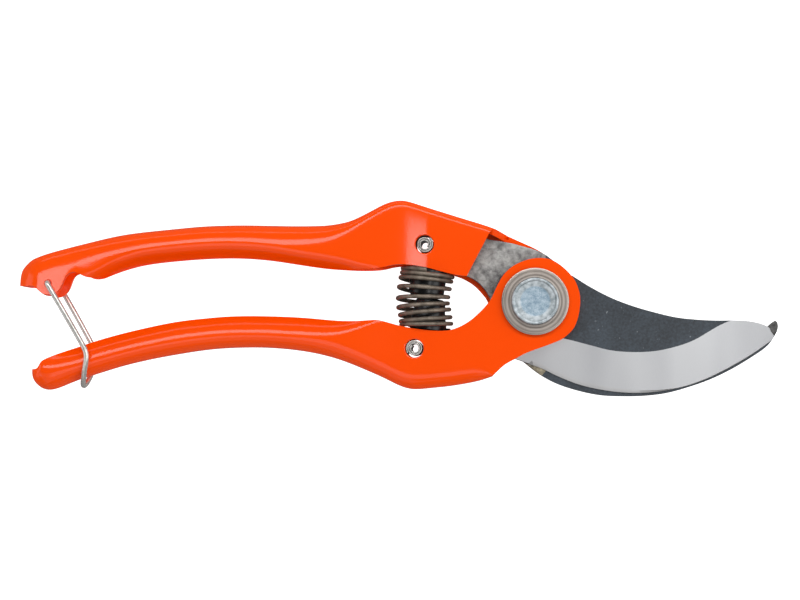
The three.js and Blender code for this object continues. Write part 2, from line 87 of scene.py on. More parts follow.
def surface(tree, sockets):
    """Ends a material's tree in a shader with these sockets set or linked."""
    shader = add(tree, "BsdfPrincipled", sockets)
    add(tree, "OutputMaterial", {"Surface": shader.outputs[0]})


CAMERA_DISTANCE, BOX_DISTANCE = 0.6366, 0.9
aim = Vector((-0.0411, 0.0008, 0.0118))
towards_right, towards_front = radians(3.5), radians(2.5)
view_from = Vector((sin(towards_right) * cos(towards_front), -sin(towards_front),
                    cos(towards_right) * cos(towards_front)))
camera_right = Vector((0, 1, 0)).cross(view_from).normalized()
camera_turn = Matrix((camera_right, view_from.cross(camera_right), view_from)).transposed()
camera = bpy.data.objects.new("camera", bpy.data.cameras.new("camera"))
camera.data.sensor_width = 36
camera.data.lens = 94.05
camera.matrix_world = (Matrix.Translation(aim + CAMERA_DISTANCE * view_from)
                       @ camera_turn.to_4x4())
scene.collection.objects.link(camera)
scene.camera = camera
scene.view_settings.view_transform = "Standard"

table_sheet = bmesh.new()
bmesh.ops.create_grid(table_sheet, x_segments=2, y_segments=2, size=1.6)
bmesh.ops.translate(table_sheet, vec=(0, 0, -0.0001), verts=table_sheet.verts)
table_mesh = bpy.data.meshes.new("table")
table_sheet.to_mesh(table_mesh)
table_sheet.free()
# Opal acrylic lit from below: an even white. It is kept out of the reflections, where it would
# edge every piece in a paler line.
acrylic, tree = material("lit_white_acrylic")
surface(tree, {"Base Color": colour("8c8c8c"), "Roughness": 0.9, "Specular IOR Level": 0.1,
               "Emission Color": colour("ffffff"), "Emission Strength": 1.2})
table_mesh.materials.append(acrylic)
table = bpy.data.objects.new("table", table_mesh)
scene.collection.objects.link(table)
table.visible_glossy = False


def soft_box(name, lean_x, lean_y, size_x, size_y, power):
    """A soft box that leans away from straight above the shears by two angles in degrees."""
    lamp = bpy.data.objects.new(name, bpy.data.lights.new(name, "AREA"))
    lamp.data.shape = "RECTANGLE"
    lamp.data.size, lamp.data.size_y = size_x, size_y
    lamp.data.energy = power
    way = Vector((sin(radians(lean_x)), sin(radians(lean_y)) * cos(radians(lean_x)),
                  cos(radians(lean_x)) * cos(radians(lean_y))))
    across = Vector((0, 1, 0)).cross(way).normalized()
    turn = Matrix((across, way.cross(across), way)).transposed()
    lamp.matrix_world = Matrix.Translation(aim + way * BOX_DISTANCE) @ turn.to_4x4()
    scene.collection.objects.link(lamp)


soft_box("long_box", 0, 28, 1.3, 0.28, 5.5)
soft_box("back_box", 0, 80, 1.3, 0.1, 0.7)
soft_box("front_box", -25, -52, 0.7, 0.9, 0.8)
soft_box("bevel_box", 2, -27, 0.62, 0.4, 0.85)
soft_box("side_box", 18.7, -4, 0.125, 0.32, 0.85)
soft_box("left_box", -72, 0, 0.5, 0.9, 1.4)
soft_box("right_box", 58, 0, 0.6, 0.9, 3.4)
scene.world = bpy.data.worlds.new("studio")
scene.world.use_nodes = True
room = scene.world.node_tree.nodes["Background"].inputs
room["Color"].default_value = colour("ffffff")
room["Strength"].default_value = 0.1


# ---- upper handle -------------------------------------------------------------------------
# Steel sheet 2 mm thick, cut out flat and pressed into a channel round its back. The grip is
# pressed fuller than the head and its lips curl in; two ears at the tail hold the latch, and
# the far wall runs on as an eye round the pivot. It is powder coated after pressing.

# all in millimetres, with heights from the table
MM = 0.001
SHEET = 2.0
NEAR_WALL, FAR_WALL = 17.0, 6.2
MID = (NEAR_WALL + FAR_WALL) / 2
EYE = 13.3
BORE, PIN_HOLE, LATCH_HOLE = 4.15, 2.75, 1.05
EAR = 6.85
EASE = 0.35
TAIL_PINCH = 5.6
LEAN_START, LEAN_RUN, LEAN_LEVEL = -120, 26, 2.4
PAST_THE_WALL = 0.8
SAME_POINT = 0.004
upper_pin = (-33.35, 17.45)
latch_hinge = (-148.2, 6.1)

upper_back = [
    (-158.1, 7.9), (-157.9, 9.4), (-157.2, 11.2), (-155.7, 12.8), (-153.7, 13.9), (-149.7, 15.3),
    (-145.8, 16.4), (-137.8, 18.4), (-127.4, 20.8), (-120.9, 21.7), (-114.7, 22.3),
    (-108.2, 22.9), (-102.0, 23.5), (-95.8, 23.7), (-89.3, 23.8), (-80.7, 23.6), (-71.5, 23.4),
    (-65.0, 23.4), (-60.4, 23.9), (-55.8, 24.8), (-52.8, 26.1), (-49.4, 27.8), (-46.3, 29.5),
    (-43.9, 30.4), (-41.1, 30.9), (-39.2, 30.8), (-36.4, 30.0), (-30.0, 27.95), (-20.0, 24.8),
    (-13.4, 22.7), (-8.0, 20.3),
]
upper_lip = [
    (-158.1, 5.4), (-157.3, 5.2), (-155.0, 5.2), (-153.6, 5.3), (-152.6, 5.2), (-151.9, 4.6),
    (-151.2, 3.8), (-150.0, 2.9), (-148.6, 2.45), (-147.4, 2.4), (-146.2, 2.7), (-145.2, 3.4),
    (-144.4, 4.5), (-143.8, 5.8), (-143.3, 7.2), (-142.7, 8.4), (-141.7, 9.2), (-140.5, 9.45),
    (-139.4, 9.25), (-138.4, 8.7), (-137.4, 8.1), (-136.2, 7.7), (-134.6, 7.6), (-132.7, 7.9),
    (-130.9, 8.7), (-126.3, 10.3), (-119.8, 12.0), (-113.7, 12.7), (-107.2, 13.3),
    (-101.1, 13.7), (-95.0, 13.9), (-88.6, 13.8), (-83.4, 13.4), (-77.0, 12.6), (-70.9, 11.5),
    (-64.5, 10.6), (-58.4, 10.2), (-52.9, 10.0), (-49.0, 10.1), (-45.9, 10.4), (-43.3, 11.1),
    (-39.7, 11.35), (-36.6, 11.1), (-33.5, 10.6), (-30.0, 9.7), (-24.7, 8.3), (-20.7, 7.7),
    (-13.3, 8.0), (-8.0, 8.0),
]
# x, half of the width, how far the back's round corner goes down and across, how far the
# lips curl in, and where they begin to
upper_form = [
    (-158.1, 7.5, 5.4, 6.0, 0.0, 1.2), (-145.0, 7.5, 5.4, 6.0, 0.0, 1.2),
    (-138.0, 7.5, 5.6, 6.0, 0.5, 2.4), (-130.0, 7.5, 6.0, 5.8, 3.2, 3.8),
    (-122.0, 7.5, 6.0, 5.8, 3.8, 4.2), (-68.0, 7.5, 6.0, 6.2, 3.8, 4.4),
    (-60.0, 7.48, 5.0, 5.0, 2.8, 4.0), (-53.0, 7.38, 3.2, 3.2, 1.0, 2.4),
    (-47.0, 7.2, 2.9, 2.9, 0.1, 1.2), (-42.5, 6.96, 2.4, 2.4, 0.0, 1.2),
    (-39.5, 6.64, 2.2, 2.2, 0.0, 1.2), (-36.0, 6.05, 2.1, 2.1, 0.0, 1.2),
    (-33.4, 5.6, 2.1, 2.1, 0.0, 1.2), (-32.0, 5.4, 2.1, 2.1, 0.0, 1.2),
    (-16.0, 5.4, 2.1, 2.1, 0.0, 1.2), (-11.0, 5.4, 1.6, 1.6, 0.0, 1.2),
    (-8.0, 5.4, 0.4, 0.4, 0.0, 1.2),
]


def measures(table, x):
    """The row of a table at x, on a smooth line through its rows."""
    last = len(table) - 1
    k = max(i for i in range(last) if i == 0 or table[i][0] <= x)
    before, a, b, after = (Vector(table[min(max(i, 0), last)]) for i in range(k - 1, k + 3))
    span = b[0] - a[0]
    t = (x - a[0]) / span
    leave = (b - before) * (span / (b[0] - before[0]))
    arrive = (after - a) * (span / (after[0] - a[0]))
    return (a * (1 + t * t * (2 * t - 3)) + leave * (t * (1 - t) ** 2)
            + b * (t * t * (3 - 2 * t)) - arrive * (t * t * (1 - t)))


def tail_narrowing(x, tip, length):
    """How much narrower the round end of the tail is at x."""
    short = max(1 - (x - tip) / length, 0)
    return TAIL_PINCH * (1 - sqrt(1 - short ** 2))


def rib(x, back, lip, half, corner, reach, curl, fold, lean):
    """One cross-section of a channel, from the near lip round the back to the far lip."""
    way = 1 if back > lip else -1
    depth = abs(back - lip)
    fold = min(fold, depth * 0.6)
    corner, reach = min(corner, half * 0.96), min(reach, depth * 0.97 - fold)
    # the lip's curl, as shares of its fold and of how far it curls in
    side = [(lip + way * fold * along, half - curl * inwards)
            for along, inwards in ((0, 1), (0.42, 0.26), (0.78, 0.03), (1, 0))]
    wall_foot, wall_head = lip + way * fold, back - way * reach
    side.append(((wall_foot + wall_head) / 2, half))
    for k in range(5):
        turn = pi / 2 * k / 4
        side.append((back - way * reach * (1 - sin(turn)), half - corner * (1 - cos(turn))))
    side = [(y, z * (1 - lean * max(y - LEAN_LEVEL, 0) / half)) for y, z in side]
    near = [Vector((x, y, MID + z)) for y, z in side]
    far = [Vector((x, y, MID - z)) for y, z in reversed(side)]
    return near + [Vector((x, back, MID))] + far


def pressed_channel(ribs):
    """A sheet bridged from rib to rib, closed at the tail."""
    sheet = bmesh.new()
    run = None
    for points in ribs:
        corners = [sheet.verts.new(p) for p in points]
        if run is None:
            sheet.faces.new(corners)
        edges = [sheet.edges.get(pair) or sheet.edges.new(pair)
                 for pair in zip(corners, corners[1:])]
        if run:
            bmesh.ops.bridge_loops(sheet, edges=run + edges)
        run = edges
    bmesh.ops.recalc_face_normals(sheet, faces=sheet.faces)
    return sheet


MOST_LOOKS = 4


def worked(mesh, *steps):
    """The mesh after a run of modifiers, each a type and its settings."""
    data = bpy.data.meshes.new("blank")
    mesh.to_mesh(data)
    mesh.free()
    for _ in range(MOST_LOOKS):
        data.materials.append(None)
    blank = bpy.data.objects.new("blank", data)
    scene.collection.objects.link(blank)
    for kind, settings in steps:
        step = blank.modifiers.new(kind, kind)
        for name, value in settings.items():
            setattr(step, name, value)
    done = bmesh.new()
    done.from_object(blank, bpy.context.evaluated_depsgraph_get())
    bpy.data.objects.remove(blank)
    bpy.data.meshes.remove(data)
    return done


def facing_out(sheet, outside):
    """Turns a sheet's faces so that the one nearest a point outside it faces that point."""
    nearest = min(sheet.faces, key=lambda face: (face.calc_center_median() - outside).length)
    if nearest.normal.dot(outside - nearest.calc_center_median()) < 0:
        bmesh.ops.reverse_faces(sheet, faces=sheet.faces)


def drawn(points, each=4):
    """A smooth line through points."""
    points = [Vector(p) for p in points]
    line = [points[0]]
    for k in range(len(points) - 1):
        a, b = points[k], points[k + 1]
        leave = (b - points[max(k - 1, 0)]).normalized() * ((b - a).length / 3)
        arrive = (points[min(k + 2, len(points) - 1)] - a).normalized() * ((b - a).length / 3)
        line += interpolate_bezier(a, a + leave, b - arrive, b, each + 1)[1:]
    return line


def arc(radius, start, end, steps):
    """Points round the pivot between two angles in degrees."""
    turns = [radians(start + (end - start) * k / steps) for k in range(steps + 1)]
    return [Vector((radius * cos(turn), radius * sin(turn))) for turn in turns]


def eye_wall(sheet, height, start, outline):
    """Runs a flat wall on from x = start to an outline round the pivot.

    The wall's faces past x = start give way to one face. Its line follows their rim from the
    lip to the back, and then the outline.
    """
    def flat(face):
        return all(abs(v.co.z - height) < 0.05 and v.co.x > start - 0.01 for v in face.verts)
    old = [face for face in sheet.faces if flat(face)]
    rim = {edge for face in old for edge in face.edges
           if any(f not in old for f in edge.link_faces)}
    kept = {v for edge in rim for v in edge.verts}
    first = min(v.co.x for v in kept)
    line = [min((v for v in kept if v.co.x - first < 0.01), key=lambda v: abs(v.co.y))]
    while onward := [v for edge in line[-1].link_edges if edge in rim
                     for v in edge.verts if v not in line]:
        line.append(onward[0])
    bmesh.ops.delete(sheet, geom=old, context="FACES_ONLY")
    for v in line:
        v.co.z = height
    sheet.faces.new(line + [sheet.verts.new((p.x, p.y, height)) for p in outline])
    loose = [v for v in sheet.verts if not v.link_faces]
    bmesh.ops.delete(sheet, geom=loose, context="VERTS")
    bmesh.ops.recalc_face_normals(sheet, faces=sheet.faces)


def thick_sheet(sheet):
    """The sheet's thickness, inwards, with its cut edges eased."""
    return worked(
        sheet,
        ("SOLIDIFY", dict(thickness=SHEET, offset=-1, use_quality_normals=True)),
        ("BEVEL", dict(width=EASE, segments=3, limit_method="ANGLE", angle_limit=radians(50))))


def turned(profile, centre=(0, 0), steps=64):
    """A closed turned piece about a line along Z, from radius and height pairs."""
    made = bmesh.new()
    points = [made.verts.new((r, 0, z)) for r, z in profile]
    edges = [made.edges.new(pair) for pair in zip(points, points[1:])]
    bmesh.ops.spin(made, geom=points + edges, cent=(0, 0, 0), axis=(0, 0, 1),
                   angle=2 * pi, steps=steps, use_merge=True)
    bmesh.ops.remove_doubles(made, verts=made.verts, dist=1e-4)
    bmesh.ops.recalc_face_normals(made, faces=made.faces)
    bmesh.ops.translate(made, vec=(*centre, 0), verts=made.verts)
    return made


def eased_hole(centre, radius, low, high):
    """The shape that a hole with eased rims takes out of a wall."""
    flare = [(radius + EASE * (1 - sin(t)), EASE * (1 - cos(t)))
             for t in (0, pi / 8, pi / 4, 3 * pi / 8, pi / 2)]
    lower = [(r, low + z) for r, z in flare]
    upper = [(r, high - z) for r, z in reversed(flare)]
    wide = radius + EASE
    bottom, top = low - PAST_THE_WALL, high + PAST_THE_WALL
    return turned([(0, bottom), (wide, bottom), *lower, *upper, (wide, top), (0, top)],
                  centre, steps=48)


def cut(mesh, *tools, operation="DIFFERENCE"):
    """Takes each tool's shape out of a mesh, or with UNION joins it on."""
    cutters = []
    for tool in tools:
        data = bpy.data.meshes.new("tool")
        tool.to_mesh(data)
        tool.free()
        cutters.append(bpy.data.objects.new("tool", data))
        scene.collection.objects.link(cutters[-1])
    done = worked(mesh, *(
        ("BOOLEAN", dict(object=cutter, operation=operation, solver="EXACT"))
        for cutter in cutters))
    for cutter in cutters:
        data = cutter.data
        bpy.data.objects.remove(cutter)
        bpy.data.meshes.remove(data)
    return done


def piece(name, mesh, body, slot, *looks, sharp=30):
    """A finished piece in its place: it rides on a body and stands for the node of its name."""
    bmesh.ops.remove_doubles(mesh, verts=mesh.verts, dist=SAME_POINT)
    bmesh.ops.dissolve_degenerate(mesh, edges=mesh.edges, dist=SAME_POINT)
    bmesh.ops.scale(mesh, vec=(MM, MM, MM), verts=mesh.verts)
    data = bpy.data.meshes.new(name)
    mesh.to_mesh(data)
    mesh.free()
    for look in looks:
        data.materials.append(look)
    data.shade_smooth()
    data.set_sharp_from_angle(angle=radians(sharp))
    made = bpy.data.objects.new("visual_" + name, data)
    scene.collection.objects.link(made)
    made.modifiers.new("flat_faces", "WEIGHTED_NORMAL").keep_sharp = True
    if body:
        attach(made, body)
    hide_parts(name)
    return made


def handle_ribs(back, lip, form, round_end, tail_lean, places):
    """A handle's ribs at their places along it."""
    tip = back[0][0]
    ribs = []
    for x in places:
        _, half, corner, reach, curl, fold = measures(form, x)
        lean = tail_lean * max(0, min(1, (LEAN_START - x) / LEAN_RUN))
        ribs.append(rib(x, measures(back, x)[1], measures(lip, x)[1],
                        half - tail_narrowing(x, tip, round_end), corner, reach,
                        max(curl, 0), fold, lean))
    return ribs


# Powder coat: polyester paint baked on to the steel. It lies thick and glossy and hides the
# metal, with the faint waviness of orange peel about 2 mm across and a little unevenness in
# its shine from handling.
coat, tree = material("orange_powder_coat")
place = add(tree, "TexCoord").outputs["Object"]
peel = add(tree, "TexNoise", {"Vector": place, "Scale": 420.0, "Detail": 2.0})
wear = add(tree, "TexNoise", {"Vector": place, "Scale": 60.0, "Detail": 3.0})
depth = add(tree, "TexNoise", {"Vector": place, "Scale": 25.0, "Detail": 1.0})
tint = add(tree, "ValToRGB", {"Fac": depth.outputs["Fac"]}, [(0.2, "fe4b00"), (0.8, "ff4f00")])
shine = add(tree, "MapRange", {"Value": wear.outputs["Fac"], "To Min": 0.11, "To Max": 0.15})
ripple = add(tree, "Bump", {"Height": peel.outputs["Fac"], "Strength": 0.25,
                            "Distance": 0.00002})
surface(tree, {"Base Color": tint.outputs["Color"], "Roughness": shine.outputs["Result"],
               "Normal": ripple.outputs["Normal"], "Specular IOR Level": 0.4})

tail_places = [x for x, _ in upper_lip if x < -130]
tail_places[1:1] = [-157.8]
grip_places = [-126.3 + 5.3 * k for k in range(11)]
head_places = [-64.5, -61, -58, -55.5, -53, -50.5, -48, -46, -44, -42, -40, -38, -36, -33.4,
               -32.2, -31.4, -30, -27, -24, -20.7, -17, -13.3, -10.5, -8]
sheet = pressed_channel(handle_ribs(upper_back, upper_lip, upper_form, round_end=9.0,
                                    tail_lean=0.2,
                                    places=tail_places + grip_places + head_places))
sheet = worked(sheet, ("SUBSURF", dict(levels=2, render_levels=2,
                                       boundary_smooth="PRESERVE_CORNERS")))
facing_out(sheet, Vector((-90, 60, MID)))
# the near wall ends in a slanted cut, which runs on down the back to the far wall
end_top, end_lip = Vector((-13.1, 22.1, NEAR_WALL)), Vector((-20.7, 7.6, NEAR_WALL))
end_far = Vector((-7.9, 22.1, FAR_WALL + SHEET))
bmesh.ops.bisect_plane(sheet, geom=sheet.verts[:] + sheet.edges[:] + sheet.faces[:],
                       plane_co=end_top, plane_no=(end_far - end_top).cross(end_top - end_lip),
                       clear_outer=True)
eye_wall(sheet, FAR_WALL, start=-29.5, outline=[
    *drawn([(-8.0, 20.25), (-5.1, 18.9), (-2.4, 17.7), (0.1, 16.5), (3.0, 14.8)])[:-1],
    *arc(EYE, 64, -170, 60),
    *drawn([(-14.2, 0.4), (-18.3, 5.0), (-22.1, 7.4), (-25.6, 8.55), (-29.4, 9.6)])[1:-1]])
facing_out(sheet, Vector((-90, 60, MID)))
handle = cut(thick_sheet(sheet),
             eased_hole(upper_pin, PIN_HOLE, NEAR_WALL - SHEET, NEAR_WALL),
             eased_hole(upper_pin, PIN_HOLE, FAR_WALL, FAR_WALL + SHEET),
             eased_hole((0, 0), BORE, FAR_WALL, FAR_WALL + SHEET),
             eased_hole(latch_hinge, LATCH_HOLE, MID + EAR - SHEET, MID + EAR),
             eased_hole(latch_hinge, LATCH_HOLE, MID - EAR, MID - EAR + SHEET))
piece("upper_handle", handle, "upper_half", "orange_coat", coat)


# ---- lower handle -------------------------------------------------------------------------
# The same sheet and paint, pressed the other way up. Its near wall runs on as the broad eye
# under the washer, its far wall stops short, and its tail is narrow enough for the latch.

lower_pin = (-36.45, -14.05)

lower_back = [
    (-154.3, -21.4), (-153.8, -23.6), (-152.4, -25.2), (-150.7, -26.25), (-148.7, -26.6),
    (-146.3, -26.1), (-143.3, -24.9), (-139.8, -23.4), (-136.8, -22.5), (-134.4, -21.8),
    (-127.2, -19.5), (-120.7, -17.9), (-114.5, -16.6), (-108.0, -15.5), (-101.8, -14.5),
    (-95.7, -13.9), (-89.2, -13.65), (-84.0, -13.6), (-77.5, -13.95), (-71.4, -14.6),
    (-65.0, -15.8), (-58.8, -17.6), (-52.7, -20.0), (-46.3, -22.8), (-40.5, -25.6),
    (-36.9, -26.4), (-31.0, -25.95), (-25.0, -25.3), (-16.9, -23.8), (-12.9, -22.4),
]
lower_lip = [
    (-154.3, -20.2), (-153.4, -20.2), (-152.2, -20.1), (-151.6, -19.7), (-151.1, -18.6),
    (-150.4, -17.6), (-149.1, -16.95), (-147.5, -16.2), (-145.2, -15.3), (-141.2, -14.0),
    (-138.2, -13.0), (-135.7, -12.1), (-131.4, -10.8), (-126.2, -9.4), (-119.7, -7.9),
    (-113.6, -6.6), (-107.2, -5.5), (-101.0, -4.9), (-94.9, -4.3), (-88.5, -4.1),
    (-80.0, -4.2), (-70.8, -4.6), (-64.4, -5.2), (-58.4, -5.7), (-52.9, -5.7), (-47.8, -5.4),
    (-45.9, -5.8), (-40.8, -7.2), (-35.0, -8.25), (-29.1, -8.8), (-25.6, -8.5), (-22.1, -7.2),
    (-18.5, -4.8), (-13.8, 0.1), (-12.9, 1.9),
]
lower_form = [
    (-154.3, 6.1, 5.6, 5.6, 0.0, 1.2), (-152.0, 6.1, 5.8, 5.8, 0.3, 1.6),
    (-148.0, 6.1, 5.8, 5.0, 2.0, 4.5), (-142.0, 6.1, 5.8, 4.6, 3.4, 5.6),
    (-125.0, 6.5, 5.8, 4.2, 3.8, 6.0), (-105.0, 7.5, 6.0, 4.2, 3.8, 6.0),
    (-66.0, 7.5, 6.0, 4.4, 3.8, 5.8), (-58.0, 7.2, 5.6, 4.8, 2.6, 4.6),
    (-52.0, 6.7, 5.2, 5.0, 1.0, 2.6), (-46.5, 6.15, 4.8, 5.0, 0.1, 1.2),
    (-41.5, 5.72, 4.6, 5.0, 0.0, 1.2), (-36.0, 5.46, 4.5, 4.8, 0.0, 1.2),
    (-32.5, 5.4, 4.4, 4.6, 0.0, 1.2), (-30.5, 5.4, 4.4, 4.6, 0.0, 1.2),
    (-20.0, 5.4, 4.0, 4.4, 0.0, 1.2), (-16.0, 5.4, 3.0, 3.4, 0.0, 1.2),
    (-14.0, 5.4, 1.8, 1.8, 0.0, 1.2), (-12.9, 5.4, 0.5, 0.5, 0.0, 1.2),
]

tail_places = [x for x, _ in lower_lip if x < -134]
tail_places[1:1] = [-154.0]
grip_places = [-131.4 + 5.2 * k for k in range(13)]
head_places = [-64.4, -61, -58.4, -55.5, -53, -50.5, -48.4, -47.2, -45.5, -43.5, -41.5, -39.5,
               -37.5, -35.5, -33, -30, -27.3, -25, -22.1, -19.5, -16.9, -14.8, -12.9]
sheet = pressed_channel(handle_ribs(lower_back, lower_lip, lower_form, round_end=6.0,
                                    tail_lean=0.0,
                                    places=tail_places + grip_places + head_places))
sheet = worked(sheet, ("SUBSURF", dict(levels=2, render_levels=2,
                                       boundary_smooth="PRESERVE_CORNERS")))
facing_out(sheet, Vector((-90, -60, MID)))
# the far wall ends in a slanted cut, short of the eye
wall_end = Vector((-20.7, -7.6, MID))
bmesh.ops.bisect_plane(
    sheet, geom=[g for g in sheet.verts[:] + sheet.edges[:] + sheet.faces[:]
                 if all(v.co.z < FAR_WALL + SHEET for v in getattr(g, "verts", [g]))],
    plane_co=wall_end, plane_no=(14.7, -7.6, 0), clear_outer=True)
eye_wall(sheet, NEAR_WALL, start=-29.5, outline=[
    *drawn([(-12.9, -22.35), (-11.3, -20.8), (-9.2, -18.95), (-5.7, -17.0), (-2.6, -15.4),
            (5.4, -12.45), (8.5, -10.95), (11.8, -7.5), (13.35, -1.9), (13.2, 2.9),
            (11.0, 7.65), (5.4, 12.35), (0.0, 13.1), (-5.6, 11.35), (-9.1, 8.6), (-11.4, 4.9),
            (-13.8, 0.1), (-18.5, -4.8), (-22.1, -7.2), (-25.6, -8.5), (-29.4, -8.8)], 6)[:-1]])
facing_out(sheet, Vector((-90, -60, MID)))
handle = cut(thick_sheet(sheet),
             eased_hole(lower_pin, PIN_HOLE, NEAR_WALL - SHEET, NEAR_WALL),
             eased_hole(lower_pin, PIN_HOLE, FAR_WALL, FAR_WALL + SHEET),
             eased_hole((0, 0), BORE, NEAR_WALL - SHEET, NEAR_WALL))
piece("lower_handle", handle, "lower_half", "orange_coat", coat)


# ---- cutting blade ------------------------------------------------------------------------
# Forged carbon-steel plate 3 mm thick, its tang in the lower handle. It has a thin satin coat
# except on the wide bevel and the narrow honed one along the edge, which are ground later.

BLADE_LOW, BLADE_TOP = 11.9, 14.9
# heights of the foot of the wide bevel, and of the honed one at the edge
GRIND_FOOT, EDGE_TOP = 12.45, 12.3
HONED_LEAST, HONED_MORE = 0.15, 1.15


def plate(outline, low, high, ease=0.12):
    """A flat plate between two heights, its long edges eased."""
    made = bmesh.new()
    face = made.faces.new([made.verts.new((p[0], p[1], low)) for p in outline])
    top = bmesh.ops.extrude_face_region(made, geom=[face])["geom"]
    bmesh.ops.translate(made, vec=(0, 0, high - low),
                        verts=[v for v in top if isinstance(v, bmesh.types.BMVert)])
    bmesh.ops.recalc_face_normals(made, faces=made.faces)
    rims = [e for e in made.edges if abs(e.verts[0].co.z - e.verts[1].co.z) < 1e-6]
    bmesh.ops.bevel(made, geom=rims, affect="EDGES", offset=ease, segments=2, profile=0.5,
                    material=-1)
    return made


def rod(radius, low, high, centre=(0, 0)):
    """A plain round tool between two heights."""
    return turned([(0, low), (radius, low), (radius, high), (0, high)], centre)


def spaced(line, count):
    """Points at equal steps along a line."""
    reach = [0.0]
    for a, b in zip(line, line[1:]):
        reach.append(reach[-1] + (b - a).length)
    points, k = [], 0
    for i in range(count):
        want = reach[-1] * i / (count - 1)
        while k < len(line) - 2 and reach[k + 1] < want:
            k += 1
        share = (want - reach[k]) / (reach[k + 1] - reach[k])
        points.append(line[k].lerp(line[k + 1], min(share, 1)))
    return points


def ground_off(starts, ends, look):
    """The wedge that grinding takes off, from a line high on the bevel to one at its foot."""
    wedge = bmesh.new()
    run = None
    for start, end in zip(starts, ends):
        slope = (end - start) / (start.z - end.z)
        corners = [start - slope * 0.6, end + slope * 0.6, end + slope * 0.6]
        corners[1].z = corners[0].z
        points = [wedge.verts.new(p) for p in corners]
        face = wedge.faces.new(points)
        if run:
            bmesh.ops.bridge_loops(wedge, edges=run + face.edges[:])
        if run and start is not starts[-1]:
            wedge.faces.remove(face)
        run = [wedge.edges.get((points[k], points[k - 1])) for k in range(3)]
    bmesh.ops.recalc_face_normals(wedge, faces=wedge.faces)
    for face in wedge.faces:
        face.material_index = look
    return wedge


STATIONS = 64
grind_line = [Vector((p.x, p.y, BLADE_TOP)) for p in spaced(drawn(
    [(-8.0, -7.0), (-3.0, -8.6), (2.0, -9.9), (9.0, -11.2), (16.4, -13.1), (22.9, -14.7),
     (29.4, -15.2), (35.9, -14.9), (42.4, -13.5), (47.6, -11.6), (52.1, -9.0), (55.4, -7.1),
     (59.9, -5.2), (64.0, -3.7), (68.5, -1.8)], 8), STATIONS)]
cutting_edge = [(-7.0, -16.9), (-3.6, -18.1), (-0.7, -19.1), (2.1, -20.15), (6.7, -22.4),
                (13.2, -24.95), (19.6, -26.45), (26.1, -27.3), (32.6, -27.4), (39.1, -26.75),
                (45.6, -25.35), (52.0, -23.0), (58.5, -19.75), (65.0, -15.95), (70.8, -11.85)]
edge_line = spaced(drawn([(-8.6, -16.6), *cutting_edge, (72.4, -10.3)], 8), STATIONS)
edge_line = [Vector((p.x, p.y, GRIND_FOOT)) for p in edge_line]
# the honed bevel widens past the heel and narrows again over the last half of the edge
honed_start, honed_end = [], []
for start, end in zip(grind_line, edge_line):
    width = HONED_LEAST + HONED_MORE * max(0, min(1, (44 - end.x) / 20, (end.x + 1.5) / 1.5))
    honed_start.append(end.lerp(start, width / hypot(start.x - end.x, start.y - end.y)))
    honed_end.append(Vector((end.x, end.y, EDGE_TOP)))
outline = [
    *drawn([(-41.5, -9.6), (-33, -9.9), (-25.6, -9.3), (-21.6, -7.7), (-18.2, -5.2),
            (-13.6, -0.3)]),
    *arc(12.7, 172, 42, 26)[1:],
    *drawn([(11.3, 7.8), (16.5, 4.5), (23.0, 1.1), (29.5, -1.4), (36.0, -3.3), (42.4, -4.8),
            (48.9, -5.5), (54.1, -5.75), (59.9, -5.75), (63.8, -5.95), (67.0, -6.55),
            (69.65, -7.5)], 5),
    *drawn([(70.3, -8.1), (70.6, -8.9), (71.1, -9.6), (71.5, -10.2), (71.4, -10.8)], 2),
    *reversed(drawn(cutting_edge, 6)),
    (-10.0, -16.7), (-14.0, -18.4), (-24.0, -21.4), (-41.5, -20.5),
]
blade = plate(outline, BLADE_LOW, BLADE_TOP)
blade = cut(blade, ground_off(grind_line, edge_line, 1), ground_off(honed_start, honed_end, 2),
            rod(PIN_HOLE, 10, 16, lower_pin), rod(BORE, 10, 16))

# Blade coat: a thin low-stick paint baked on to blasted steel. It is satin and slate grey, with
# a few pale specks of dust and a grain from the blasting under it. That grain is finer than
# 0.2 mm and wouldn't show, so it is drawn 0.7 mm across.
satin, tree = material("slate_satin_blade_coat")
place = add(tree, "TexCoord").outputs["Object"]
grain = add(tree, "TexNoise", {"Vector": place, "Scale": 1500.0, "Detail": 3.0})
cloud = add(tree, "TexNoise", {"Vector": place, "Scale": 90.0, "Detail": 4.0})
speck = add(tree, "TexNoise", {"Vector": place, "Scale": 900.0, "Detail": 1.0})
grainy = add(tree, "Mix", {"Factor": 0.5, 2: cloud.outputs["Fac"], 3: grain.outputs["Fac"]})
base = add(tree, "ValToRGB", {"Fac": grainy.outputs[0]}, [(0.35, "1d242b"), (0.65, "39434d")])
dust = add(tree, "MapRange", {"Value": speck.outputs["Fac"], "From Min": 0.74,
                              "From Max": 0.82, "To Max": 0.5})
speckled = add(tree, "Mix", {"Factor": dust.outputs["Result"], 6: base.outputs["Color"],
                             7: colour("98a0a4")}, data_type="RGBA")
shine = add(tree, "MapRange", {"Value": cloud.outputs["Fac"], "To Min": 0.38, "To Max": 0.5})
ripple = add(tree, "Bump", {"Height": grain.outputs["Fac"], "Strength": 0.3,
                            "Distance": 0.00002})
surface(tree, {"Base Color": speckled.outputs[2], "Roughness": shine.outputs["Result"],
               "Normal": ripple.outputs["Normal"]})


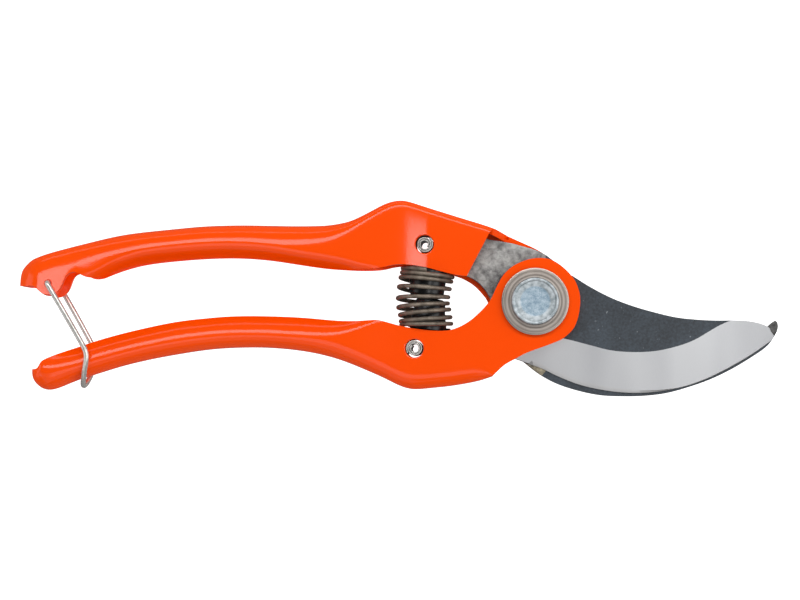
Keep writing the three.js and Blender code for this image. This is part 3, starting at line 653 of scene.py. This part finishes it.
def ground_steel(name, pale, dark, rough, line_turn, line_gap_mm):
    """Bare steel off a grinding belt: fine parallel lines, and soft bands of painted sheen in
    its colour.
    """
    made, tree = material(name)
    place = add(tree, "TexCoord").outputs["Object"]
    turned_place = add(tree, "Mapping", {"Vector": place, "Rotation": (0, 0, radians(line_turn)),
                                         "Scale": (1.0, 0.04, 1.0)})
    lines = add(tree, "TexNoise", {"Vector": turned_place.outputs["Vector"],
                                   "Scale": 1000.0 / line_gap_mm, "Detail": 2.0})
    # painted sheen: soft bands along the lines, lighter and darker in the colour only, stand for
    # the shine of the ground steel
    sheen_band_place = add(tree, "Mapping", {"Vector": place, "Rotation": (0, 0, radians(line_turn)),
                                  "Scale": (1.0, 0.15, 1.0)})
    sheen_band = add(tree, "TexNoise", {"Vector": sheen_band_place.outputs["Vector"], "Scale": 75.0,
                                  "Detail": 1.0})
    both = add(tree, "Mix", {"Factor": 0.15, 2: sheen_band.outputs["Fac"], 3: lines.outputs["Fac"]})
    tone = add(tree, "ValToRGB", {"Fac": both.outputs[0]}, [(0.3, dark), (0.62, pale)])
    ripple = add(tree, "Bump", {"Height": lines.outputs["Fac"], "Strength": 0.08,
                                "Distance": 0.00001})
    gloss = add(tree, "MapRange", {"Value": lines.outputs["Fac"], "To Min": rough - 0.05,
                                   "To Max": rough + 0.07})
    surface(tree, {"Base Color": tone.outputs["Color"], "Roughness": gloss.outputs["Result"],
                   "Normal": ripple.outputs["Normal"], "Metallic": 1.0})
    return made


# Ground steel: the bevel comes off a belt with lines across it and takes an even pale shine,
# and the honed bevel is finished by hand, a little duller. The belt's lines are finer than
# 0.1 mm and wouldn't show, so they are drawn 0.2 mm apart and more.
bevel_steel = ground_steel("ground_bevel_steel", "cccdcf", "bcbdc0", rough=0.42, line_turn=12,
                           line_gap_mm=0.25)
honed_steel = ground_steel("honed_edge_steel", "cfcfd0", "bcbcbd", rough=0.44, line_turn=12,
                           line_gap_mm=0.2)
piece("cutting_blade", blade, "lower_half", "blade_coat", satin, bevel_steel, honed_steel,
      sharp=9)


# ---- counter blade ------------------------------------------------------------------------
# The hook, a steel plate 3.5 mm thick whose tang is pinned in the upper handle. It is left
# as heat treatment leaves it round the pivot, coated beyond, and bare again at the tip.

HOOK_LOW, HOOK_TOP = 8.3, 11.8
outline = [
    (-41.0, 13.0), (-41.0, 26.6), (-37.0, 26.4),
    *drawn([(-13.8, 19.2), (-7.4, 18.05), (-3.9, 17.1), (-0.3, 16.1), (2.6, 14.8),
            (5.5, 12.7)], 5),
    *arc(13.0, 62, -20, 14)[1:],
    *drawn([(13.3, -8.0), (17.5, -14.6), (26.0, -19.8), (37.0, -21.3), (48.0, -19.3),
            (59.0, -14.0), (67.0, -9.2), (70.0, -7.4), (71.3, -6.3), (72.2, -5.75)], 5),
    *drawn([(72.75, -6.2), (72.95, -7.5), (72.4, -9.4), (69.8, -13.2), (65.3, -16.5),
            (58.8, -20.4), (52.3, -23.5), (45.8, -25.8), (39.3, -27.55), (32.8, -28.35),
            (26.2, -28.5), (19.7, -28.2), (13.2, -26.9), (6.7, -24.8), (1.4, -22.0),
            (-3.8, -18.0), (-8.6, -14.0), (-12.2, -8.0), (-13.6, -2.0), (-13.9, 1.4),
            (-16.8, 5.6), (-20.4, 7.9), (-24.7, 9.2), (-33.0, 11.6)], 5),
]
hook = plate(outline, HOOK_LOW, HOOK_TOP, ease=0.3)
# where the coat starts at the heel and beside the pivot, and where it is worn off at the tip,
# each as a point on a line and a way across it
heel = Vector((1.9, -22.2, 0)), Vector((0.73, -0.68, 0))
head_side = Vector((3.2, 0, 0)), Vector((1, 0, 0))
tip = Vector((71.0, -9.8, 0)), Vector((0.6, 0.8, 0))
for at, across in (heel, head_side, tip):
    bmesh.ops.bisect_plane(hook, geom=hook.verts[:] + hook.edges[:] + hook.faces[:],
                           plane_co=at, plane_no=across)
for face in hook.faces:
    middle = face.calc_center_median()
    past_heel, past_head, past_tip = [(middle - at).dot(across) > 0
                                      for at, across in (heel, head_side, tip)]
    coated = (past_heel or past_head and middle.y > -5) and not past_tip
    face.material_index = int(coated)
hook = cut(hook, rod(PIN_HOLE, 7, 13, upper_pin), rod(BORE, 7, 13))

# Scaled steel: bare plate after hardening, wiped with oil. Grey scale lies in cloudy patches
# 2 mm across and more, worn pale in places and almost black in others, under a dull shine. It
# is straw coloured at the heel and darker at the tip.
scaled, tree = material("scaled_bare_steel")
place = add(tree, "TexCoord").outputs["Object"]
cloud = add(tree, "TexNoise", {"Vector": place, "Scale": 560.0, "Detail": 6.0,
                               "Roughness": 0.62, "Distortion": 0.4})
patch = add(tree, "TexNoise", {"Vector": place, "Scale": 95.0, "Detail": 3.0})
both = add(tree, "Mix", {"Factor": 0.45, 2: cloud.outputs["Fac"], 3: patch.outputs["Fac"]})
tone = add(tree, "ValToRGB", {"Fac": both.outputs[0]},
           [(0.36, "4c4b4a"), (0.47, "7b7a79"), (0.62, "adadaa")])
axes = add(tree, "SeparateXYZ", {"Vector": place})
at_heel = add(tree, "MapRange", {"Value": axes.outputs["Y"], "From Min": -0.017,
                                 "From Max": -0.02})
at_tip = add(tree, "MapRange", {"Value": axes.outputs["X"], "From Min": 0.06,
                                "From Max": 0.07})
straw = add(tree, "Mix", {"Factor": at_heel.outputs["Result"], 6: tone.outputs["Color"],
                          7: colour("fff2d4")}, data_type="RGBA", blend_type="MULTIPLY")
dull = add(tree, "Mix", {"Factor": at_tip.outputs["Result"], 6: straw.outputs[2],
                         7: colour("a8a8a8")}, data_type="RGBA", blend_type="MULTIPLY")
gloss = add(tree, "MapRange", {"Value": cloud.outputs["Fac"], "To Min": 0.34, "To Max": 0.6})
ripple = add(tree, "Bump", {"Height": both.outputs[0], "Strength": 0.4, "Distance": 0.00004})
surface(tree, {"Base Color": dull.outputs[2], "Roughness": gloss.outputs["Result"],
               "Normal": ripple.outputs["Normal"], "Metallic": 0.9})
piece("counter_blade", hook, "upper_half", "bare_steel", scaled, satin)


# ---- coiled pins --------------------------------------------------------------------------
# Spring pins rolled from hardened strip. One goes through both walls and the tang of each
# half, and its ends lie just below the walls.

STRIP, TURN_GAP, PIN_TURNS, PIN_STEPS = 0.48, 0.1, 2.25, 90
PIN_RADIUS, BELOW_WALL, TUMBLED = 2.65, 0.2, 0.16


def coiled_pin(centre, seam):
    """Strip rolled round from the seam inwards, with its ends tumbled round."""
    outside, inside = [], []
    for k in range(PIN_STEPS + 1):
        turn = PIN_TURNS * k / PIN_STEPS
        angle = radians(seam) - 2 * pi * turn
        radius = PIN_RADIUS - turn * (STRIP + TURN_GAP)
        ray = Vector((cos(angle), sin(angle)))
        outside.append(Vector(centre) + ray * radius)
        inside.append(Vector(centre) + ray * (radius - STRIP))
    return plate(outside + inside[::-1], FAR_WALL + BELOW_WALL, NEAR_WALL - BELOW_WALL, TUMBLED)


# Spring steel: hardened strip, oiled black and rubbed bright on its ends by the press.
strip_steel = ground_steel("rolled_spring_steel", "c6c2bd", "8c8883", rough=0.34, line_turn=40,
                           line_gap_mm=0.3)
piece("upper_spring_pin", coiled_pin(upper_pin, 52), "upper_half", "spring_steel", strip_steel)
piece("lower_spring_pin", coiled_pin(lower_pin, 215), "lower_half", "spring_steel", strip_steel)


# ---- pivot bolt, washers and nut ----------------------------------------------------------
# A zinc-plated bolt with a low round head goes down through a turned washer, the lower
# handle's eye, both blades and the upper handle's eye. A second washer and a nut hold it.

HEAD_LOW = 18.5
RING_GAP = 0.55
head = turned([(0, 0), (3.6, 0), (4.0, 0.4), (4.0, HEAD_LOW), (6.95, HEAD_LOW),
               (7.1, 18.65), (7.15, 18.9), (7.15, 20.25), (7.08, 20.5), (6.9, 20.66),
               (6.65, 20.7), (6.3, 20.68), (6.12, 20.6), (6.0, 20.52), (4.9, 20.5),
               (4.62, 20.47), (4.4, 20.44), (2.5, 20.43), (0, 20.43)], steps=128)
washer = turned([(BORE, 17.1), (9.9, 17.1), (10.1, 17.25), (10.1, 18.32), (10.08, 18.37),
                 (10.02, 18.4), (9.5, 18.4), (BORE + 0.3, 18.4), (BORE, 18.2), (BORE, 17.1)],
                steps=128)
back_washer = turned([(BORE, 4.9), (9.5, 4.9), (9.95, 5.05), (10.1, 5.25), (10.1, 5.95),
                      (9.95, 6.1), (BORE, 6.1), (BORE, 4.9)], steps=96)


def round_the_pivot(tree):
    """Object coordinates, and the distance from the pivot's middle line."""
    place = add(tree, "TexCoord").outputs["Object"]
    flat = add(tree, "VectorMath", {0: place, 1: (1.0, 1.0, 0.0)}, operation="MULTIPLY")
    reach = add(tree, "VectorMath", {0: flat.outputs["Vector"]}, operation="LENGTH")
    return place, reach.outputs["Value"]


# Turned steel: the washers are faced on a lathe, which leaves rings. The rings are real in the
# bump and the roughness, and the warm grey bands they make in the colour are painted sheen,
# where the rings would catch the light. A lathe's rings are about 0.1 mm apart; they are drawn
# 0.55 mm apart to show.
faced, tree = material("turned_washer_steel")
place, reach = round_the_pivot(tree)
rings_and_sheen = add(tree, "TexNoise", {"W": reach, "Scale": 1000.0 / RING_GAP, "Detail": 3.0},
            noise_dimensions="1D").outputs["Fac"]
patch = add(tree, "TexNoise", {"Vector": place, "Scale": 160.0, "Detail": 3.0})
both = add(tree, "Mix", {"Factor": 0.3, 2: rings_and_sheen, 3: patch.outputs["Fac"]})
# painted sheen: the warm grey bands in this colour follow the rings
tone = add(tree, "ValToRGB", {"Fac": both.outputs[0]}, [(0.3, "8a817a"), (0.7, "bbb1a9")])
gloss = add(tree, "MapRange", {"Value": rings_and_sheen, "To Min": 0.28, "To Max": 0.46})
ripple = add(tree, "Bump", {"Height": rings_and_sheen, "Strength": 0.3, "Distance": 0.00002})
surface(tree, {"Base Color": tone.outputs["Color"], "Roughness": gloss.outputs["Result"],
               "Normal": ripple.outputs["Normal"], "Metallic": 1.0})

# Zinc plate: passivated a cool blue, paler on the rim where it is struck smooth, and mottled
# in crystals under 1 mm across on the flat of the head.
zinc, tree = material("blue_zinc_plate")
place, reach = round_the_pivot(tree)
crystals = add(tree, "TexNoise", {"Vector": place, "Scale": 1500.0, "Detail": 3.0,
                                  "Distortion": 1.2})
mottle = add(tree, "TexNoise", {"Vector": place, "Scale": 700.0, "Detail": 4.0})
inner = add(tree, "MapRange", {"Value": reach, "From Min": 0.0042, "From Max": 0.0047})
both = add(tree, "Mix", {"Factor": 0.5, 2: crystals.outputs["Fac"],
                         3: mottle.outputs["Fac"]})
middle_tone = add(tree, "ValToRGB", {"Fac": both.outputs[0]},
                  [(0.38, "8096a6"), (0.66, "b6c5cf")])
rim_tone = add(tree, "ValToRGB", {"Fac": mottle.outputs["Fac"]},
               [(0.38, "8f989c"), (0.62, "bcc3c7")])
tone = add(tree, "Mix", {"Factor": inner.outputs["Result"], 6: middle_tone.outputs["Color"],
                         7: rim_tone.outputs["Color"]}, data_type="RGBA")
gloss = add(tree, "MapRange", {"Value": inner.outputs["Result"], "To Min": 0.56,
                               "To Max": 0.46})
ripple = add(tree, "Bump", {"Height": both.outputs[0], "Strength": 0.5, "Distance": 0.00003})
surface(tree, {"Base Color": tone.outputs[2], "Roughness": gloss.outputs["Result"],
               "Normal": ripple.outputs["Normal"], "Metallic": 1.0})

piece("pivot_bolt", head, "lower_half", "zinc_plate", zinc)
piece("front_washer", washer, "lower_half", "turned_steel", faced)
piece("rear_washer", back_washer, "lower_half", "turned_steel", faced)

NUT_LOW, NUT_TOP, NUT_CORNER = 0.8, 4.8, 7.5
nut = bmesh.new()
bmesh.ops.create_cone(nut, cap_ends=True, segments=6, radius1=NUT_CORNER, radius2=NUT_CORNER,
                      depth=NUT_TOP - NUT_LOW,
                      matrix=Matrix.Translation((0, 0, (NUT_LOW + NUT_TOP) / 2)))
bmesh.ops.bevel(nut, geom=nut.edges[:], affect="EDGES", offset=EASE, segments=2, profile=0.5,
                material=-1)
nut = cut(nut, eased_hole((0, 0), BORE, NUT_LOW, NUT_TOP))
piece("pivot_nut", nut, "lower_half", "zinc_plate", zinc)


# ---- buffers ------------------------------------------------------------------------------
# Two black rubber plugs inside the spring, one pressed into the mouth of each handle. They
# hold the spring's ends and meet to stop the handles.

def plug(seat, turn, profile, neck, low, high, pin):
    """A round boss on a slanted seat with a flat neck that goes up between the walls."""
    boss = turned(profile)
    bmesh.ops.rotate(boss, cent=(0, 0, 0), verts=boss.verts,
                     matrix=Matrix.Rotation(radians(-90), 3, "X"))
    bmesh.ops.rotate(boss, cent=(0, 0, 0), verts=boss.verts,
                     matrix=Matrix.Rotation(turn, 3, "Z"))
    bmesh.ops.translate(boss, vec=(*seat, MID), verts=boss.verts)
    joined = cut(boss, plate(neck, low, high, ease=0.3), operation="UNION")
    return cut(joined, rod(PIN_HOLE, 0, 24, pin))


# Moulded rubber: black, with a slight bloom and a soft gloss from the polished mould.
rubber, tree = material("moulded_black_rubber")
place = add(tree, "TexCoord").outputs["Object"]
bloom = add(tree, "TexNoise", {"Vector": place, "Scale": 260.0, "Detail": 4.0})
tone = add(tree, "ValToRGB", {"Fac": bloom.outputs["Fac"]}, [(0.35, "060607"), (0.75, "131214")])
gloss = add(tree, "MapRange", {"Value": bloom.outputs["Fac"], "To Min": 0.22, "To Max": 0.42})
surface(tree, {"Base Color": tone.outputs["Color"], "Roughness": gloss.outputs["Result"]})

upper_plug = plug((-32.0, 9.8), pi - 0.16, [
    (0, 0), (5.4, 0), (5.4, 6.6), (5.2, 7.5), (4.6, 8.1), (3.9, 8.3), (0, 8.3)],
    [(-37.2, 8.9), (-27.9, 8.2), (-27.9, 13), (-29.6, 20.6), (-36.8, 21.4), (-37.2, 13)],
    low=11.95, high=14.85, pin=upper_pin)
piece("upper_buffer", upper_plug, "upper_half", "black_rubber", rubber)
lower_plug = plug((-32.9, -8.1), -0.13, [
    (0, 0), (5.8, 0), (5.8, 1.5), (5.3, 3.4), (4.9, 5.4), (4.6, 8.2), (4.2, 9.0), (3.6, 9.3),
    (0, 9.3)],
    [(-38.0, -7.4), (-40.0, -11), (-40.0, -17.6), (-32.8, -17.6), (-25.8, -12), (-25.8, -7.9)],
    low=8.3, high=11.75, pin=lower_pin)
piece("lower_buffer", lower_plug, "lower_half", "black_rubber", rubber)


# ---- return spring ------------------------------------------------------------------------
# Round spring wire 1.3 mm thick, wound in eight turns with the end ones closed and cut off
# square. It bows a little away from the pivot, and is squeezed between the handles.

def wire(points, thickness, around=14):
    """Round wire along a line of points, cut off square at its ends."""
    line = bpy.data.curves.new("line", "CURVE")
    line.dimensions = "3D"
    line.bevel_depth = thickness / 2
    line.bevel_resolution = around // 2 - 1
    line.use_fill_caps = True
    run = line.splines.new("POLY")
    run.points.add(len(points) - 1)
    for point, place_at in zip(run.points, points):
        point.co = (*place_at, 1)
    former = bpy.data.objects.new("line", line)
    scene.collection.objects.link(former)
    shell = bpy.data.meshes.new_from_object(
        former.evaluated_get(bpy.context.evaluated_depsgraph_get()))
    made = bmesh.new()
    made.from_mesh(shell)
    bpy.data.meshes.remove(shell)
    bpy.data.objects.remove(former)
    bpy.data.curves.remove(line)
    bmesh.ops.remove_doubles(made, verts=made.verts, dist=1e-4)
    bmesh.ops.recalc_face_normals(made, faces=made.faces)
    return made


SPRING_TURNS, COIL_RADIUS, WIRE_SPRING, TURN_STEPS = 8.3, 7.65, 1.3, 40
# turn, height, where the coil's middle is along the handles, and how it leans
spring_turns = [
    (0, 9.7, -32.6, -0.14), (1, 8.4, -32.8, -0.14), (2, 7.05, -33.2, -0.15),
    (3, 4.5, -33.7, -0.14), (4, 1.6, -34.1, -0.07), (5, -0.8, -34.1, 0.01),
    (6, -2.95, -33.6, 0.04), (7, -5.2, -33.3, 0.02), (8, -6.7, -33.1, -0.02),
    (9, -7.6, -33.0, -0.04)]
helix = []
for k in range(int(SPRING_TURNS * TURN_STEPS) + 1):
    turn = k / TURN_STEPS
    _, height, middle, lean = measures(spring_turns, turn)
    across = COIL_RADIUS * cos(2 * pi * turn + pi / 2)
    helix.append((middle + across, height + across * lean,
                  MID + COIL_RADIUS * sin(2 * pi * turn + pi / 2)))
coil = wire(helix, WIRE_SPRING)

# Spring wire: drawn, tempered and oiled. It is a warm grey brown in patches some 2 mm long,
# under a soft shine.
drawn_wire, tree = material("tempered_spring_wire")
place = add(tree, "TexCoord").outputs["Object"]
patch = add(tree, "TexNoise", {"Vector": place, "Scale": 420.0, "Detail": 4.0})
tone = add(tree, "ValToRGB", {"Fac": patch.outputs["Fac"]}, [(0.3, "655c52"), (0.7, "978b7e")])
gloss = add(tree, "MapRange", {"Value": patch.outputs["Fac"], "To Min": 0.48, "To Max": 0.62})
surface(tree, {"Base Color": tone.outputs["Color"], "Roughness": gloss.outputs["Result"],
               "Metallic": 0.75})
return_spring = piece("return_spring", coil, None, "spring_steel", drawn_wire)
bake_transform(return_spring)


# ---- latch bail ---------------------------------------------------------------------------
# One length of bright plated wire 1.6 mm thick. Its ends are bent into the upper handle's
# ears, and its loop passes round the lower handle's tail to keep the shears shut.

WIRE_LATCH = 1.6
# how far each leg's middle is from the mid plane beside the ears
ear_reach = 7.5 + WIRE_LATCH / 2 + 0.1
side = [(*latch_hinge, 5.6), (*latch_hinge, ear_reach - 1.2),
        (latch_hinge[0] + 0.15, latch_hinge[1] - 0.3, ear_reach - 0.2),
        (latch_hinge[0] + 0.8, latch_hinge[1] - 1.4, ear_reach + 0.05)]
leg = [(-143.5, -1.9, 8.25), (-137.6, -12.2, 7.6), (-136.5, -14.4, 7.45), (-136.1, -16.1, 7.3),
       (-136.3, -18.1, 6.95), (-136.9, -20.6, 6.0), (-137.6, -23.2, 4.1), (-138.1, -24.7, 2.2)]
near = [Vector((x, y, MID + z)) for x, y, z in side + leg]
far = [Vector((p.x, p.y, 2 * MID - p.z)) for p in reversed(near)]
bail = wire(drawn(near + [Vector((-138.3, -25.2, MID))] + far, 8), WIRE_LATCH, around=18)

# Bright plate: nickel over polished wire, clean and pale, with scratches about 1 mm long that
# soften its shine.
bright, tree = material("bright_nickel_plate")
place = add(tree, "TexCoord").outputs["Object"]
scratch = add(tree, "TexNoise", {"Vector": place, "Scale": 900.0, "Detail": 3.0})
tone = add(tree, "ValToRGB", {"Fac": scratch.outputs["Fac"]},
           [(0.3, "c9c6c0"), (0.6, "e6e4df")])
gloss = add(tree, "MapRange", {"Value": scratch.outputs["Fac"], "To Min": 0.16, "To Max": 0.3})
surface(tree, {"Base Color": tone.outputs["Color"], "Roughness": gloss.outputs["Result"],
               "Metallic": 0.65})
piece("latch_bail", bail, "latch", "bright_plate", bright)
